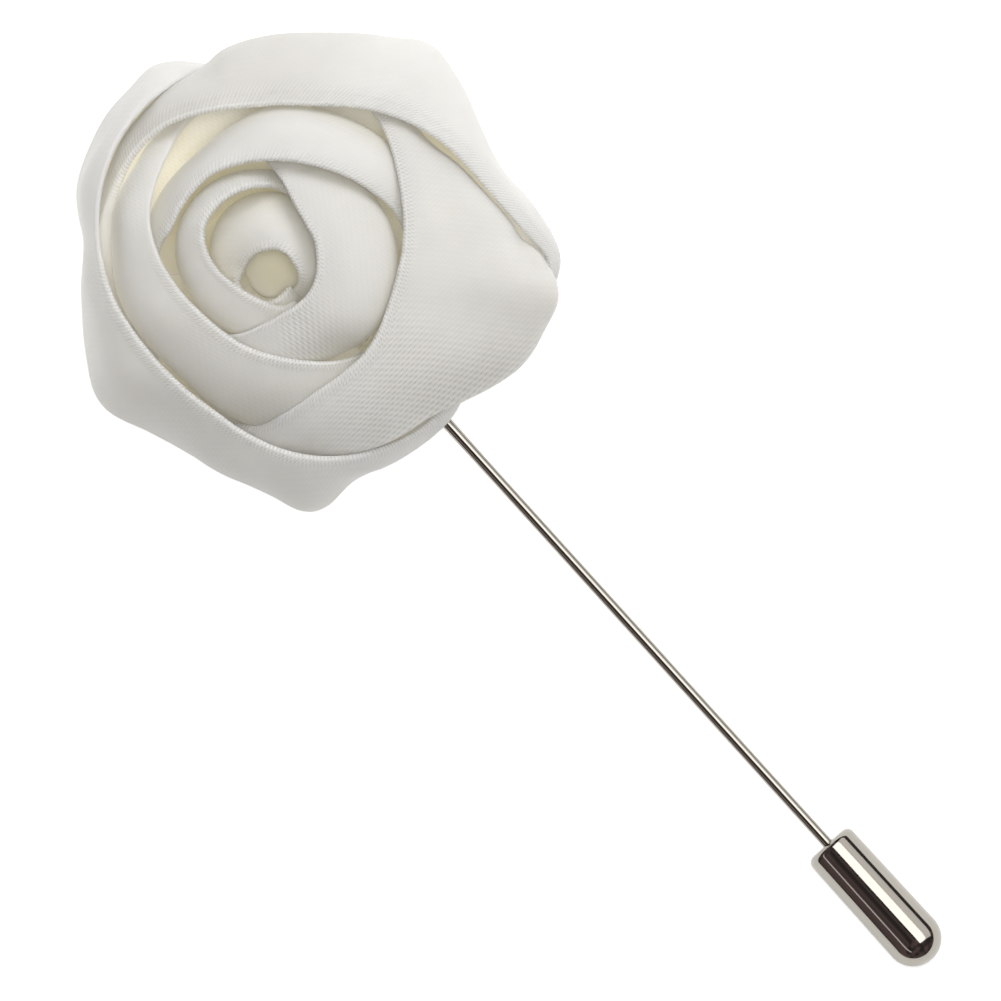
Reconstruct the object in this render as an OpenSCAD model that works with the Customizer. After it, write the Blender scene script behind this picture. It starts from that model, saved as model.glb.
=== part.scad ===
// Flower lapel pin: a rose wound from satin ribbon on a straight stick pin with a bullet cap.
// Millimetres, +Z up. The flower lies face up on its felt, and the needle runs along +X.

/* [Flower] */
// Width of the flower across its widest petals
flower_w = 43.3; // [42:0.1:44]
// Thickness of a petal, which is ribbon folded double
petal_t = 1.0; // [0.9:0.02:1]
// How far the flower's middle lies from the needle's line
bud_off = 2.5; // [2:0.1:3]
// Angle from the needle to the flower's own 0 degrees
flower_turn = 47.8; // [44:0.2:50]

/* [Back] */
// Diameter of the felt disc
felt_d = 25; // [24:0.5:26]
// Thickness of the felt disc
felt_t = 1.4; // [1.2:0.1:1.4]
// Diameter of the ribbon's gathered base, which carries the petals
base_d = 24.6; // [24.4:0.1:25]

/* [Stick pin] */
// Diameter of the needle where it shows
needle_d = 1.0; // [0.9:0.02:1.02]
// Length from the pad's middle to the needle's point
needle_l = 78.5; // [77:0.1:79]
// Diameter of the pad that is soldered to the needle
pad_d = 11; // [9:0.5:12]
// Thickness of the pad
pad_t = 0.7; // [0.65:0.05:0.8]

/* [Cap] */
// Greatest diameter of the cap, near its round end
cap_d = 5.1; // [5:0.05:5.2]
// Diameter of the cap at its flat end
cap_mouth_d = 4.9; // [4.7:0.05:4.9]
// Length of the cap
cap_l = 14; // [13.5:0.1:14.5]
// Where the cap's flat end lies along the needle
cap_x = 68.5; // [68.4:0.1:69]

/* [Hidden] */

SATIN = "ivory";
NICKEL = "silver";
FELT = "whitesmoke";

gap = 0.1;
size = flower_w / 43.3;
needle_z = cap_d / 2;
base_top = needle_z + 1.25;
foot_z = base_top + gap;
root_d = needle_d + 0.2;
root_l = 21;
tip_d = needle_d - 0.1;
neck_d = tip_d - 0.06;
tip_x = cap_x - 3 * gap;
taper_l = 5;
point_d = 0.16;
bore_d = tip_d + 0.1;
bore_l = needle_l - cap_x + 0.8;
mouth_round = 0.7;
core_d = 1.1;
core_top = 10.2;
rim_share = 0.6;
near_rim_share = 0.95;

// How each petal is folded: [radius of its foot, height of its underside]
FOOT = 0;
SHELF = 1;
heart_fold = [1.2, 10.9];
bud_left_fold = [2.7, 10.3];
bud_right_fold = [4.2, 9.6];
inner_top_fold = [5.7, 8.8];
inner_left_fold = [7.2, 8.0];
right_fold = [8.7, 7.1];
top_fold = [10.2, 5.8];
outer_fold = [11.7, 4.5];

// Each petal's rows: [angle about the bud, rim radius, rim height, hem radius, hem height].
// The rim is the folded edge on top, and the hem is where the petal stands out farthest.
ANGLE = 0;
RIM_R = 1;
RIM_Z = 2;
HEM_R = 3;
HEM_Z = 4;
heart_rows = [
    [-36, 2.4, 13.8, 4.0, 12.2],
    [-20, 2.5, 14.8, 4.6, 12.5],
    [0, 2.4, 15.6, 5.0, 12.8],
    [28, 2.2, 16.0, 5.4, 13.0],
    [60, 2.3, 16.2, 6.0, 13.2],
    [92, 2.4, 16.0, 6.8, 13.4],
    [120, 2.5, 15.6, 6.8, 13.4],
    [146, 2.7, 14.9, 6.2, 13.0],
    [170, 2.9, 14.0, 5.2, 12.4],
    [195, 3.1, 13.3, 4.3, 11.5],
    [220, 3.0, 13.3, 4.0, 11.5],
    [250, 2.8, 13.3, 3.7, 11.5],
    [280, 2.5, 13.3, 3.5, 11.5],
    [300, 2.2, 13.3, 3.4, 11.5],
    [318, 2.0, 13.3, 3.2, 11.5]];
bud_left_rows = [
    [66, 7.0, 13.4, 8.3, 11.7],
    [78, 7.3, 13.8, 8.6, 11.9],
    [88, 7.8, 14.9, 8.8, 12.4],
    [98, 8.0, 16.4, 9.0, 13.4],
    [110, 8.1, 17.4, 9.2, 14.6],
    [128, 8.0, 17.7, 9.4, 15.0],
    [146, 7.6, 17.8, 9.2, 15.0],
    [160, 6.6, 17.9, 8.8, 15.0],
    [174, 5.4, 17.9, 8.2, 15.0],
    [190, 4.2, 17.8, 7.4, 15.0],
    [208, 3.4, 17.6, 6.8, 15.0],
    [232, 2.9, 17.4, 6.2, 14.8],
    [258, 2.9, 16.8, 5.6, 14.0],
    [284, 3.2, 15.6, 5.3, 12.6],
    [304, 3.2, 14.2, 5.0, 11.6]];
bud_right_rows = [
    [-134, 7.6, 14.2, 9.0, 11.2],
    [-122, 6.6, 16.0, 8.8, 12.4],
    [-104, 5.0, 17.2, 8.5, 14.0],
    [-80, 3.9, 17.7, 8.4, 14.3],
    [-54, 3.7, 18.0, 8.6, 14.0],
    [-30, 3.8, 18.1, 9.8, 15.4],
    [-6, 4.0, 18.1, 10.5, 15.6],
    [18, 4.3, 18.1, 10.8, 15.4],
    [40, 4.9, 18.0, 10.8, 15.0],
    [58, 5.5, 17.8, 10.6, 14.0],
    [74, 6.7, 17.3, 10.6, 12.8],
    [85, 8.5, 16.5, 11.0, 12.0],
    [94, 10.2, 14.7, 11.2, 11.5]];
inner_top_rows = [
    [12, 12.4, 13.4, 13.8, 10.5],
    [26, 12.3, 15.6, 14.4, 12.4],
    [40, 11.6, 16.8, 15.0, 13.2],
    [56, 10.9, 17.3, 15.0, 13.4],
    [74, 10.4, 17.5, 14.6, 14.0],
    [92, 10.3, 17.5, 14.3, 14.2],
    [106, 10.4, 17.4, 13.4, 14.0],
    [122, 10.6, 17.2, 12.4, 13.8],
    [138, 10.4, 16.8, 11.9, 13.4],
    [156, 10.2, 16.0, 11.7, 12.8],
    [167, 10.6, 14.8, 11.8, 12.2],
    [180, 10.7, 13.6, 11.1, 11.4]];
inner_left_rows = [
    [84, 17.4, 11.2, 18.0, 9.5],
    [96, 17.0, 10.9, 17.5, 9.6],
    [109, 16.4, 11.5, 16.9, 9.6],
    [121, 15.6, 12.8, 16.2, 9.6],
    [131, 14.5, 14.6, 15.8, 11.6],
    [142, 13.5, 15.9, 15.3, 13.0],
    [156, 12.3, 16.9, 15.0, 13.6],
    [170, 10.7, 17.4, 14.2, 13.4],
    [188, 8.9, 17.7, 13.4, 13.6],
    [208, 7.6, 17.9, 12.4, 14.0],
    [230, 7.1, 17.9, 12.0, 14.0],
    [252, 7.2, 17.7, 12.4, 13.6],
    [272, 7.6, 17.2, 12.8, 12.6],
    [290, 8.5, 16.4, 13.4, 12.0],
    [305, 9.7, 15.0, 13.3, 11.0],
    [318, 10.7, 13.2, 13.2, 9.6]];
right_rows = [
    [-113, 14.0, 11.0, 15.2, 8.7],
    [-98, 13.8, 13.0, 15.6, 10.0],
    [-86, 12.7, 15.2, 15.8, 11.8],
    [-70, 11.4, 16.8, 16.2, 13.0],
    [-54, 11.0, 17.4, 17.0, 12.8],
    [-42, 11.0, 17.7, 17.9, 11.0],
    [-32, 10.9, 17.8, 20.3, 9.6],
    [-20, 10.8, 17.9, 23.1, 8.8],
    [-11, 10.9, 17.9, 24.2, 8.9],
    [-4, 11.1, 17.9, 24.9, 9.4],
    [3, 11.4, 17.9, 23.4, 9.8],
    [9, 11.8, 17.8, 21.6, 10.6],
    [18, 12.4, 17.6, 20.1, 11.4],
    [30, 13.4, 17.2, 18.8, 12.2],
    [42, 14.8, 16.3, 17.8, 12.4],
    [54, 16.5, 14.2, 18.2, 11.2],
    [65, 17.7, 11.8, 19.0, 9.2],
    [78, 18.7, 10.2, 19.3, 8.6]];
top_rows = [
    [-3, 24.2, 8.0, 24.6, 6.2],
    [3, 24.6, 8.9, 25.2, 6.7],
    [8, 23.3, 10.3, 24.7, 7.4],
    [15, 21.7, 11.7, 23.5, 7.4],
    [25, 20.3, 12.9, 22.1, 7.4],
    [37, 19.3, 14.2, 22.2, 7.4],
    [48, 18.3, 14.9, 23.5, 7.4],
    [56, 17.5, 15.2, 24.5, 7.4],
    [64, 16.7, 15.5, 23.2, 7.4],
    [77, 15.6, 15.8, 21.7, 7.4],
    [92, 15.2, 15.9, 20.9, 7.4],
    [102, 15.3, 15.9, 20.2, 7.4],
    [107, 15.5, 15.9, 19.4, 7.4],
    [112, 15.7, 15.8, 18.4, 8.0],
    [119, 16.1, 15.4, 17.9, 8.6],
    [128, 16.6, 14.8, 17.6, 9.2],
    [139, 16.8, 13.4, 17.2, 8.8],
    [151, 16.4, 12.4, 16.7, 7.4],
    [166, 15.7, 11.2, 15.9, 7.4],
    [180, 15.3, 9.8, 15.5, 7.3],
    [198, 15.1, 8.7, 15.4, 7.2],
    [216, 14.8, 8.2, 15.1, 7.0]];
outer_rows = [
    [109, 19.5, 6.6, 19.6, 4.7],
    [115, 19.5, 8.2, 20.6, 5.8],
    [121, 19.3, 10.8, 21.3, 6.0],
    [129, 19.0, 13.2, 20.5, 6.0],
    [141, 18.3, 14.8, 19.9, 6.1],
    [155, 17.2, 15.3, 18.9, 6.1],
    [172, 15.8, 15.4, 16.9, 6.1],
    [188, 14.7, 15.4, 17.0, 6.1],
    [203, 13.7, 15.4, 18.0, 6.1],
    [216, 13.2, 15.4, 18.8, 6.0],
    [230, 13.1, 15.4, 17.6, 6.0],
    [246, 13.5, 15.4, 17.4, 6.0],
    [260, 14.6, 15.3, 18.2, 6.0],
    [270, 15.6, 15.1, 19.4, 6.0],
    [279, 16.5, 14.6, 20.7, 6.0],
    [290, 17.5, 13.4, 19.4, 6.0],
    [301, 18.3, 11.8, 19.3, 6.0],
    [312, 19.0, 9.4, 19.6, 5.9],
    [323, 19.4, 6.6, 19.8, 5.4]];

// Steps between rows, along the lower and upper halves of a fold's section
row_steps = 2;
low_steps = 4;
high_steps = 5;

// Catmull-Rom curve from b to c, with a before them and d after
function through(a, b, c, d, t) =
    b + t / 2 * (c - a + t * (2 * a - 5 * b + 4 * c - d + t * (3 * (b - c) + d - a)));

// The row at position u, counted in rows from the first
function row_at(rows, u) =
    let (last = len(rows) - 1, i = min(floor(u), last - 1))
    through(rows[max(i - 1, 0)], rows[i], rows[i + 1], rows[min(i + 2, last)], u - i);

function bezier(a, b, c, d, t) =
    pow(1 - t, 3) * a + 3 * t * pow(1 - t, 2) * b + 3 * t * t * (1 - t) * c + pow(t, 3) * d;

// A fold's middle line as [radius, height]: out from its foot to its hem, then in over its rim
function middle(row, fold) =
    let (foot = [fold[FOOT], foot_z],
         rim = [row[RIM_R] * size, row[RIM_Z]],
         hem = [row[HEM_R] * size, row[HEM_Z]],
         wide = hem[0] - rim[0],
         high = rim[1] - hem[1])
    concat(
        [for (i = [0:low_steps - 1])
            bezier(foot, [foot[0], fold[SHELF]], [hem[0], fold[SHELF]], hem, i / low_steps)],
        [for (i = [0:high_steps])
            bezier(hem, hem + [0, 0.5 * high], rim + [0.45 * wide, -0.12 * high], rim, i / high_steps)]);

// Half the thickness at a point of the middle line, j steps before its last: the rim is rounded
function half(j) = petal_t / 2 * (j == 0 ? rim_share : j == 1 ? near_rim_share : 1);

function turned(angle, p) = [p[0] * cos(angle), p[0] * sin(angle), p[1]];

function unit(v) = v / norm(v);

// A point that lies no lower than the petals' feet
function seated(p) = [p[0], p[1], max(p[2], foot_z)];

// The sheet's outward normal at point j of line i
function outward(sheet, i, j) =
    let (ni = len(sheet) - 1, nj = len(sheet[0]) - 1)
    unit(cross(sheet[min(i + 1, ni)][j] - sheet[max(i - 1, 0)][j],
               sheet[i][min(j + 1, nj)] - sheet[i][max(j - 1, 0)]));

// A petal: its middle sheet with half the thickness on each side, and a round rim
module petal(rows, fold) {
    stations = (len(rows) - 1) * row_steps;
    sheet = [for (s = [0:stations])
        let (row = row_at(rows, s / row_steps))
        [for (p = middle(row, fold)) turned(row[ANGLE], p)]];
    last = len(sheet[0]) - 1;
    loops = [for (i = [0:stations])
        let (line = sheet[i], tip = unit(line[last] - line[last - 1]))
        concat(
            [for (j = [0:last]) seated(line[j] + outward(sheet, i, j) * half(last - j))],
            [line[last] + tip * petal_t / 2],
            [for (j = [last:-1:0]) seated(line[j] - outward(sheet, i, j) * half(last - j))])];
    n = len(loops[0]);
    sides = [for (i = [0:stations - 1]) for (j = [0:n - 1])
        let (a = i * n + j, b = i * n + (j + 1) % n)
        each [[a, b, b + n], [a, b + n, a + n]]];
    start = [for (j = [0:last - 1]) each [[j, n - 2 - j, j + 1], [j, n - 1 - j, n - 2 - j]]];
    start_tip = [last, last + 2, last + 1];
    end = stations * n;
    ends = [for (f = concat(start, [start_tip])) each [f, [f[0] + end, f[2] + end, f[1] + end]]];
    translate([-bud_off, -bud_off, 0])
        rotate(flower_turn)
            polyhedron([for (l = loops) each l], concat(sides, ends));
}

module heart_roll() color(SATIN) petal(heart_rows, heart_fold);
module bud_left_petal() color(SATIN) petal(bud_left_rows, bud_left_fold);
module bud_right_petal() color(SATIN) petal(bud_right_rows, bud_right_fold);
module inner_top_petal() color(SATIN) petal(inner_top_rows, inner_top_fold);
module inner_left_petal() color(SATIN) petal(inner_left_rows, inner_left_fold);
module right_petal() color(SATIN) petal(right_rows, right_fold);
module top_petal() color(SATIN) petal(top_rows, top_fold);
module outer_petal() color(SATIN) petal(outer_rows, outer_fold);

// The ribbon's gathered end under the petals, with the core that they are wound on.
// It is hollowed for the pad, and slotted for the needle.
module ribbon_base() {
    floor_z = felt_t + gap;
    pad_room = floor_z + pad_t + gap;
    slot_w = root_d + 4 * gap;
    color(SATIN)
        difference() {
            translate([-bud_off, -bud_off, floor_z])
                union() {
                    cylinder(d = base_d, h = base_top - floor_z, $fn = 96);
                    cylinder(d = core_d, h = core_top - floor_z, $fn = 32);
                }
            cylinder(d = pad_d + 4 * gap, h = pad_room, $fn = 64);
            translate([-4 * gap, -slot_w / 2, 0])
                cube([base_d, slot_w, needle_z + root_d / 2 + gap]);
        }
}

// Closes the back of the flower
module felt_disc() {
    color(FELT)
        translate([-bud_off, -bud_off, 0])
            cylinder(d = felt_d, h = felt_t, $fn = 96);
}

// A round bar along the needle's line, from x to x + l
module bar(x, l, d1, d2 = 0) {
    translate([x, 0, needle_z])
        rotate([0, 90, 0])
            cylinder(d1 = d1, d2 = d2 > 0 ? d2 : d1, h = l, $fn = 48);
}

// Pad, root under the flower, needle, and tip in the cap, soldered into one
module pin_stick() {
    color(NICKEL)
        union() {
            translate([0, 0, felt_t + gap])
                cylinder(d = pad_d, h = pad_t, $fn = 64);
            bar(0, root_l, root_d, needle_d);
            bar(root_l, tip_x - root_l, needle_d);
            bar(tip_x, needle_l - taper_l - tip_x, tip_d, neck_d);
            bar(needle_l - taper_l, taper_l, neck_d, point_d);
        }
}

// The bullet cap: a flat end with a round edge, a slight swell, and a dome
module pin_cap() {
    mouth_r = cap_mouth_d / 2;
    dome_r = cap_d / 2;
    outline = concat(
        [[0, 0]],
        [for (a = [-90:15:0]) [mouth_r - mouth_round + mouth_round * cos(a), mouth_round + mouth_round * sin(a)]],
        [for (a = [0:9:81]) [dome_r * cos(a), cap_l - dome_r + dome_r * sin(a)]],
        [[0, cap_l]]);
    color(NICKEL)
        difference() {
            translate([cap_x, 0, needle_z])
                rotate([0, 90, 0])
                    rotate_extrude($fn = 64)
                        polygon(outline);
            bar(cap_x - 1, bore_l + 1, bore_d);
        }
}

heart_roll();
bud_left_petal();
bud_right_petal();
inner_top_petal();
inner_left_petal();
right_petal();
top_petal();
outer_petal();
ribbon_base();
felt_disc();
pin_stick();
pin_cap();
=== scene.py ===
import math

import bpy
import numpy as np
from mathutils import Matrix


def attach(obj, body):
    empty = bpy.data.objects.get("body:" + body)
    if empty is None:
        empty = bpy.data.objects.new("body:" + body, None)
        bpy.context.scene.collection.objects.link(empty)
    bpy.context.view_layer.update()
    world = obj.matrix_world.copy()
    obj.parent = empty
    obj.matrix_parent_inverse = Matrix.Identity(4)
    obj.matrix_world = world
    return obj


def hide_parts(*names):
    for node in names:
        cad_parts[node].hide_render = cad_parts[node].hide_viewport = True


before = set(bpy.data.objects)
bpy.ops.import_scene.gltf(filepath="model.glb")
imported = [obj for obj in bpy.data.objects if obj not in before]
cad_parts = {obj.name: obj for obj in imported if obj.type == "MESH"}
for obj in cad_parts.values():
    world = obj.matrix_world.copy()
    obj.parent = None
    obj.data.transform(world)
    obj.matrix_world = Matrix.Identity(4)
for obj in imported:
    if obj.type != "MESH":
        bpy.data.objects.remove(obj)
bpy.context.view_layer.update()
mm = 0.001
print("frame loaded")

# Sizes that every petal shares; lengths in mm, angles in degrees
flower = {
    "axis": (-2.5, -2.5),      # the bud's middle
    "turn": 47.8,              # from the needle to the flower's own zero, which is the photo's right
    "footZ": 3.9,              # where every petal stands on the gathered base
    "thick": 1.0,              # ribbon folded double
    "rimThick": 0.56,          # pressed thinner along the folded edge
    "perMm": 13.5,             # stations to a millimetre of rim
    "rimPitch": 0.34,          # between the strands of a folded edge
    "rowPitch": 0.38,          # between its rows of strands
    "twillPitch": 0.33,        # between the ribs of the flat cloth
    "crossPitch": 0.44,        # between the threads that cross them
    "edgeRise": 0.05,          # a folded edge stands this far out of the flat cloth
    "grooveDepth": 0.045,      # the line along the middle of a broad folded edge
    "grooveWidth": 0.10,
    "swell": 0.14,             # height of the flat cloth's slow swells
    "lowPoints": 12,           # points of a section from its foot to its hem
    "closePoints": 14,         # points near the rim, and their step
    "closeStep": 0.11,
    "farPoints": 16,           # points between those and the hem
    "edgeTurns": [20, 40, 58, 74],  # points round the folded edge
}


def smooth(a, b, x):
    # 0 below a, 1 above b, and 3tt - 2ttt between, so with a soft start and end
    t = np.clip((x - a) / (b - a), 0, 1)
    return t * t * (3 - 2 * t)


def alongRows(rows, u):
    # Catmull-Rom curve through the rows at position u, counted in rows
    last = len(rows) - 1
    i = np.minimum(np.floor(u).astype(int), last - 1)
    t = (u - i)[:, None]
    a, b, c, d = rows[np.maximum(i - 1, 0)], rows[i], rows[i + 1], rows[np.minimum(i + 2, last)]
    return b + t / 2 * (c - a + t * (2 * a - 5 * b + 4 * c - d + t * (3 * (b - c) + d - a)))


def bezier(a, b, c, d, t):
    # cubic through a and d, pulled towards b and c; t is one value or one for each point
    return (1 - t) ** 3 * a + 3 * t * (1 - t) ** 2 * b + 3 * t * t * (1 - t) * c + t ** 3 * d


def lookUp(x, known, values):
    # values at x by straight lines between known points, for every station at once
    hit = (known[:, None, :] < x[:, :, None]).sum(2)
    hit = np.clip(hit, 1, known.shape[1] - 1)
    k0, k1 = np.take_along_axis(known, hit - 1, 1), np.take_along_axis(known, hit, 1)
    share = np.clip((x - k0) / np.maximum(k1 - k0, 1e-9), 0, 1)
    v0, v1 = values[hit - 1], values[hit]
    return v0 + share * (v1 - v0)


def unit(v):
    # each vector made 1 long
    return v / np.maximum(np.linalg.norm(v, axis=-1, keepdims=True), 1e-12)


def wander(x, y, seed, size):
    # slow uneven swell of about -1 to 1, made of five slanted waves
    rng = np.random.default_rng(seed)
    total = np.zeros(np.broadcast(x, y).shape)
    for k in range(5):
        way, phase = rng.uniform(0, 2 * math.pi), rng.uniform(0, 2 * math.pi)
        length = size * rng.uniform(0.7, 1.6)
        total += np.sin(2 * math.pi * (x * math.cos(way) + y * math.sin(way)) / length + phase)
    return total / 3


def rimStations(look):
    # evenly spaced places along the rim: distance, angle, and the rim and hem there
    rows = np.array(look["rows"], float)
    fine = np.linspace(0, len(rows) - 1, 1200)
    at = alongRows(rows, fine)
    bend = np.radians(at[:, 0])
    line = np.c_[at[:, 1] * np.cos(bend), at[:, 1] * np.sin(bend), at[:, 2]]
    run = np.r_[0, np.cumsum(np.linalg.norm(np.diff(line, axis=0), axis=1))]
    s = np.linspace(0, run[-1], int(run[-1] * flower["perMm"]))
    at = alongRows(rows, np.interp(s, run, fine))
    return s, np.radians(at[:, 0]), at[:, 1:3], at[:, 3:5]


def byAngle(look, key, angle):
    # a petal's own table of [degrees, share], 1 where it has none
    table = np.array(look.get(key, [[0, 1]]), float)
    return np.interp(np.degrees(angle), table[:, 0], table[:, 1])[:, None]


def middleLine(look, angle, rim, hem):
    # each section's middle line: from the foot out to the hem, then up and in to the rim
    stations = len(rim)
    foot = np.repeat([[look["foot"], flower["footZ"]]], stations, 0)
    low = np.linspace(0, 1, flower["lowPoints"])[None, :-1, None]
    b, c = foot * [1, 0] + [0, look["shelf"]], hem * [1, 0] + [0, look["shelf"]]
    lower = bezier(foot[:, None], b[:, None], c[:, None], hem[:, None], low)

    # the upper half has its points close together towards the rim
    t = np.linspace(0, 1, 81)
    wide, high = hem[:, 0] - rim[:, 0], rim[:, 1] - hem[:, 1]
    b = hem + np.c_[0 * high, 0.5 * high]
    c = rim + np.c_[0.45 * wide, -0.12 * high]
    curve = bezier(hem[:, None], b[:, None], c[:, None], rim[:, None], t[None, :, None])
    steps = np.linalg.norm(np.diff(curve, axis=1), axis=2)
    length = np.concatenate([np.zeros((stations, 1)), np.cumsum(steps, axis=1)], 1)
    whole = length[:, -1:]
    close = np.r_[0, np.cumsum(np.full(flower["closePoints"], flower["closeStep"]))]
    far = np.linspace(0, 1, flower["farPoints"])[1:] ** 1.15
    dense = np.minimum(close[-1], whole * 0.5)
    near = np.minimum(close[None, :], dense * close / close[-1])
    back = np.concatenate([near, dense + far * (whole - dense)], 1)[:, ::-1]
    share = lookUp(whole - back, length, t)
    upper = bezier(hem[:, None], b[:, None], c[:, None], rim[:, None], share[:, :, None])

    # past the rim the two layers close in a round edge
    onward = unit(upper[:, -1] - upper[:, -2])
    reach = flower["rimThick"] / 2
    turnBy = np.radians(flower["edgeTurns"])
    past = upper[:, -1:] + onward[:, None] * (reach * np.sin(turnBy))[None, :, None]
    middle = np.concatenate([lower, upper, past], 1)

    # half the thickness, thinner towards the folded edge
    onLower = np.full((stations, lower.shape[1]), np.inf)
    fromRim = np.concatenate([onLower, back, np.zeros((stations, len(turnBy)))], 1)
    half = reach + (flower["thick"] / 2 - reach) * smooth(0.2, 3.2, fromRim)
    half[:, -len(turnBy):] = reach * np.cos(turnBy)
    return middle, half * byAngle(look, "fat", angle)


def petalSurface(look):
    # a folded ribbon as a closed shell: a grid of stations by points round the section
    s, angle, rim, hem = rimStations(look)
    middle, half = middleLine(look, angle, rim, hem)
    stations = len(s)
    r, z = middle[..., 0], middle[..., 1]
    sheet = np.stack([r * np.cos(angle)[:, None], r * np.sin(angle)[:, None], z], -1)
    normal = unit(np.cross(np.gradient(sheet, axis=0), np.gradient(sheet, axis=1)))
    tip = sheet[:, -1] + unit(sheet[:, -1] - sheet[:, -2]) * 0.01
    points = np.concatenate([sheet + normal * half[..., None], tip[:, None],
                             (sheet - normal * half[..., None])[:, ::-1]], 1)
    out = np.concatenate([normal, unit(tip - sheet[:, -2])[:, None], -normal[:, ::-1]], 1)

    # q is the distance from the folded edge, over 0 on the outside and under 0 on the inside
    steps = np.linalg.norm(np.diff(middle, axis=1), axis=2)
    along = np.concatenate([np.cumsum(steps[:, ::-1], 1)[:, ::-1], np.zeros((stations, 1))], 1)
    q = np.concatenate([along, np.zeros((stations, 1)), -along[:, ::-1]], 1)
    s = np.repeat(s[:, None], points.shape[1], 1)
    degrees = np.degrees(angle)[:, None]

    # ribs of the folded edge lean like the strands of a rope
    band, lean = look["band"], look.get("lean", 0.6)
    start, stop = look.get("ribbed", (-400, 400))
    mask = (1 - smooth(band * 0.5, band * 1.5, q)) * (1 - smooth(0.1, 0.5, -q))
    mask = mask * smooth(start, start + 12, degrees) * (1 - smooth(stop - 12, stop, degrees))
    strand, row = (s + lean * q) / flower["rimPitch"], (q + 0.12) / flower["rowPitch"]
    raised = (1 - smooth(band * 0.8, band * 1.3, q)) * smooth(-0.4, 0.3, q)
    points = points + out * (flower["edgeRise"] * raised * mask)[..., None]
    if "groove" in look:
        groove = np.exp(-((q - look["groove"]) / flower["grooveWidth"]) ** 2)
        points = points - out * (flower["grooveDepth"] * groove)[..., None]

    # slow swells of the flat cloth, and soft folds on its outer side from one place (x, y) to another
    soft = smooth(0.3, 4, np.abs(q)) * smooth(0, 3, points[..., 2] - flower["footZ"])
    swell = soft * look.get("swell", flower["swell"]) * wander(s, q, look["seed"], 9.0)
    for x0, y0, x1, y1, width, height in look.get("folds", []):
        dx, dy = x1 - x0, y1 - y0
        where = ((points[..., 0] - x0) * dx + (points[..., 1] - y0) * dy) / (dx * dx + dy * dy)
        near = np.clip(where, 0, 1)
        off = np.hypot(points[..., 0] - x0 - near * dx, points[..., 1] - y0 - near * dy)
        ends = smooth(-0.1, 0.3, where) * (1 - smooth(0.7, 1.1, where))
        swell = swell + height * np.exp(-(off / width) ** 2) * ends * smooth(0.3, 1.2, q)
    points = points + out * swell[..., None]
    points[..., 2] = np.maximum(points[..., 2], flower["footZ"])

    # twill of the flat cloth runs at the grain's slope, seen from above
    grain, bend = math.radians(look.get("grain", 52)), 0.5 * wander(s, q, look["seed"] + 20, 16.0)
    x, y = points[..., 0], points[..., 1]
    twill = (x * math.sin(grain) - y * math.cos(grain)) / flower["twillPitch"] + bend
    cross = (x * math.cos(grain - 0.9) + y * math.sin(grain - 0.9)) / flower["crossPitch"]
    # the twill is made strong only in the patch, where the light picks it out, so its light and dark there
    # are partly painted sheen
    low, high = look.get("patch", (-400, 400))
    place = smooth(low - 10, low + 25, degrees) * (1 - smooth(high - 25, high + 10, degrees))
    uneven = smooth(-0.8, 0.6, wander(s, q, look["seed"] + 50, 14.0))
    ribs = look.get("twill", 0.2) * (0.08 + 0.92 * place * uneven) * smooth(0.1, 0.8, np.abs(q))

    # painted shade: the cloth is tinted warmer the deeper it lies below the rim, in place of light bounced
    # about in the folds
    shallow, deep = look.get("paintedFoldWarmthFrom", (1.5, 8.0))
    paintedFoldWarmth = look.get("paintedFoldWarmth", 0.75) * smooth(shallow, deep, rim[:, 1:2] - points[..., 2])
    paintedFoldWarmth = paintedFoldWarmth * np.where(q > 0, look.get("paintedFoldWarmthOut", 0.9), 1.0)
    # painted glow in the deep folds, scaled by the petal's litIn and litOut tables, in place of light that
    # comes through the cloth
    lit = np.where(q > 0, byAngle(look, "litOut", angle), byAngle(look, "litIn", angle))
    glow = smooth(0.6, 4.5, rim[:, 1:2] - points[..., 2]) * lit
    # painted light and shade: the petal's own table of shares by angle makes its outer face lighter or
    # darker
    paintedShading = np.where(q > 0.3, byAngle(look, "paintedShading", angle), 1.0)
    values = {"twill": twill, "cross": cross, "ribs": ribs, "paintedFoldWarmth": paintedFoldWarmth, "glow": glow, "edge": mask,
              "strand": strand, "row": row, "paintedShading": paintedShading}
    return points, values, s[-1, 0]


def addPiece(name, points, faces, material):
    # one smooth-shaded mesh in the pin's own frame, from points in mm
    mesh = bpy.data.meshes.new(name)
    mesh.from_pydata((np.asarray(points, float) * mm).tolist(), [], faces)
    mesh.polygons.foreach_set("use_smooth", np.ones(len(mesh.polygons), bool))
    mesh.materials.append(material)
    mesh.update()
    piece = bpy.data.objects.new(name, mesh)
    bpy.context.scene.collection.objects.link(piece)
    return piece


def shellPiece(name, points, values, material):
    # grid closed round the section, with a strip of faces over each end
    rowsN, n = points.shape[:2]
    turn = math.radians(flower["turn"])
    x, y, z = np.moveaxis(points.reshape(-1, 3), 1, 0)
    placed = np.c_[x * math.cos(turn) - y * math.sin(turn) + flower["axis"][0],
                   x * math.sin(turn) + y * math.cos(turn) + flower["axis"][1], z]
    i = np.arange(rowsN - 1)[:, None] * n
    j = np.arange(n)[None, :]
    k = (j + 1) % n
    quads = np.stack([i + j, i + n + j, i + n + k, i + k], -1).reshape(-1, 4)
    m = (n - 1) // 2
    a = np.arange(m - 1)
    strip = np.stack([a, a + 1, n - 2 - a, n - 1 - a], -1)
    last = np.array([m - 1, m, n - m])
    end = (rowsN - 1) * n
    faces = quads.tolist() + strip.tolist() + [last.tolist()]
    faces += (strip[:, ::-1] + end).tolist() + [(last[::-1] + end).tolist()]
    piece = addPiece(name, placed, faces, material)
    for key, value in values.items():
        layer = piece.data.attributes.new(key, "FLOAT", "POINT")
        layer.data.foreach_set("value", np.asarray(value, np.float32).ravel())
    return piece


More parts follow.
